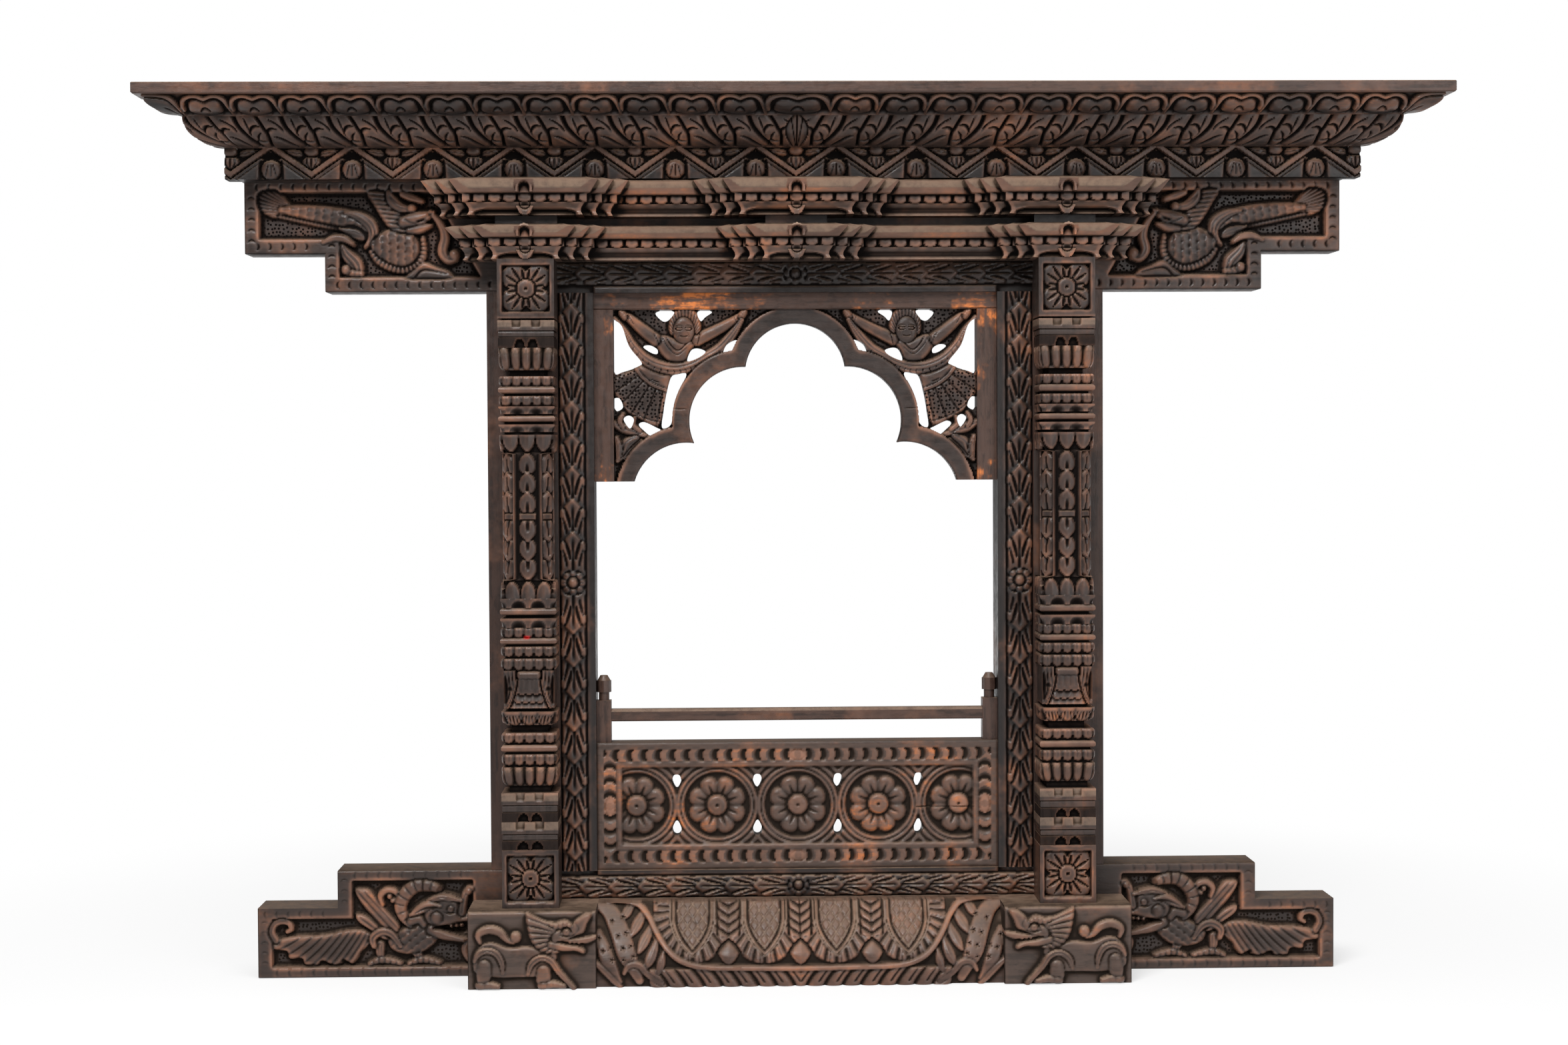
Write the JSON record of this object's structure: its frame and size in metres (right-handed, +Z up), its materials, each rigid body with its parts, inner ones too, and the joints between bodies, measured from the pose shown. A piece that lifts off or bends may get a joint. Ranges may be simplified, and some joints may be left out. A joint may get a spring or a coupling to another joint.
{
  "type": "carved window frame",
  "caption": "Free-standing carved hardwood window frame with stepped cornice, bracket beams, columns, cusped arch panel, pierced balustrade and winged base.",
  "frame": {"origin": "on the floor under the middle of the frame's bounding box", "axes": "+X to the viewer's right, +Y from the carved front to the flat back, +Z up"},
  "size_m": [1.5, 0.186, 1.042],
  "materials": {
    "dark_wood": "near-black stained hardwood, hand cut, pitted ground",
    "mid_wood": "brown-black stained hardwood with reddish rubbed edges",
    "red_wood": "reddish-brown stained hardwood with orange wear",
    "dusty_wood": "stained hardwood with dusty tan tops"
  },
  "bodies": {
    "root": {"crown_board": "red_wood", "lotus_cornice": "mid_wood", "acanthus_cornice": "mid_wood", "zigzag_cornice": "mid_wood", "upper_wing_left": "dark_wood", "upper_wing_right": "dark_wood", "lintel": "dark_wood", "upper_bracket": "dusty_wood", "lower_bracket": "dusty_wood", "neck_block_left": "dark_wood", "neck_block_center": "dark_wood", "neck_block_right": "dark_wood", "jamb_left": "dark_wood", "jamb_right": "dark_wood", "column_left": "mid_wood", "column_right": "mid_wood", "leaf_stile_left": "mid_wood", "leaf_stile_right": "mid_wood", "leaf_head_rail": "mid_wood", "leaf_bottom_rail": "mid_wood", "arch_head_rail": "red_wood", "arch_stile_left": "red_wood", "arch_stile_right": "red_wood", "arch_panel": "mid_wood", "balustrade_panel": "mid_wood", "newel_left": "red_wood", "newel_right": "red_wood", "hand_rail": "red_wood", "threshold": "dark_wood", "sill_panel": "dusty_wood", "lion_block_left": "dusty_wood", "lion_block_right": "dusty_wood", "lower_wing_left": "dark_wood", "lower_wing_right": "dark_wood"}
  },
  "joints": []
}
